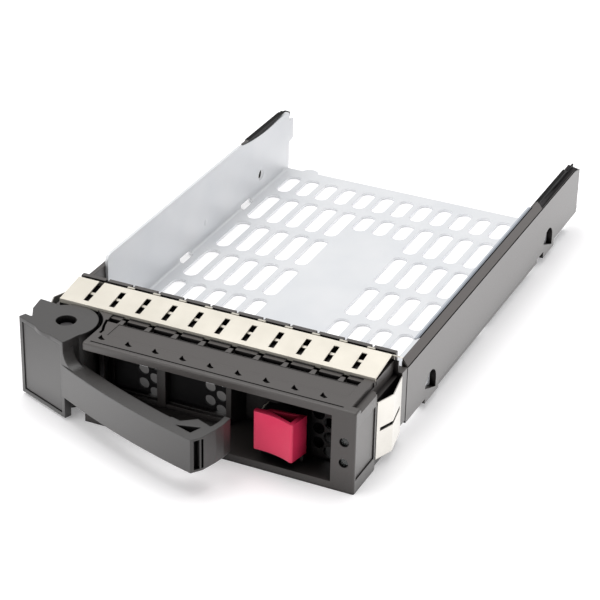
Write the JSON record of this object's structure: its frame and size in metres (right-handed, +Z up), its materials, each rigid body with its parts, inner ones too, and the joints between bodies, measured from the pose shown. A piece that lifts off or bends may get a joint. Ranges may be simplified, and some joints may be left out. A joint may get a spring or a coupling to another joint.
{
  "type": "hot swap drive caddy",
  "caption": "Hot swap drive caddy: a folded steel tray with slotted floor behind a black bezel with an eject lever, a raspberry release button and a sprung shield strip.",
  "frame": {"origin": "underside of the tray floor, in the middle between the front and rear pairs of drive screw holes", "axes": "+Z up from the floor, +Y from the bezel to the open rear, +X to the right when the front is seen"},
  "size_m": [0.1112, 0.2051, 0.0283],
  "materials": {
    "zinc_steel": "satin zinc-plated sheet",
    "stainless": "bright rolled stainless spring sheet",
    "dark_steel": "oiled turned steel",
    "black_plastic": "fine spark-eroded moulding",
    "grey_plastic": "fine spark-eroded moulding",
    "raspberry_plastic": "fine spark-eroded moulding",
    "clear_acrylic": "clear moulded light guide"
  },
  "bodies": {
    "tray": {"tray_pan": "zinc_steel", "front_bezel": "black_plastic", "shield_strip": "stainless", "right_side_shield": "stainless", "left_side_shield": "stainless", "right_rail": "black_plastic", "left_rail": "black_plastic", "bezel_screws": "zinc_steel", "upper_light_pipe": "clear_acrylic", "lower_light_pipe": "clear_acrylic", "side_grille": "black_plastic", "rear_grille": "black_plastic", "lever_pin": "dark_steel", "lever_washer": "stainless", "lever_spring": "stainless", "guide_pin": "dark_steel", "button_spring": "stainless"},
    "lever": {"eject_lever": "grey_plastic", "label_panel": "grey_plastic"},
    "button": {"release_button": "raspberry_plastic", "latch_slider": "black_plastic", "catch_plate": "stainless"}
  },
  "joints": [
    {"name": "lever_hinge", "type": "hinge", "parent": "tray", "child": "lever", "pos_m": [-0.0408, -0.0961, 0.013], "axis": [0, 0, 1], "range_deg": [-10, 21.6], "stiffness_Nm_per_rad": 0.02, "deforming": ["lever_spring"]},
    {"name": "button_slide", "type": "slide", "parent": "tray", "child": "button", "axis": [1, 0, 0], "range_m": [0, 0.0025], "stiffness_N_per_m": 120, "springref_m": -0.002, "deforming": ["button_spring"]}
  ]
}
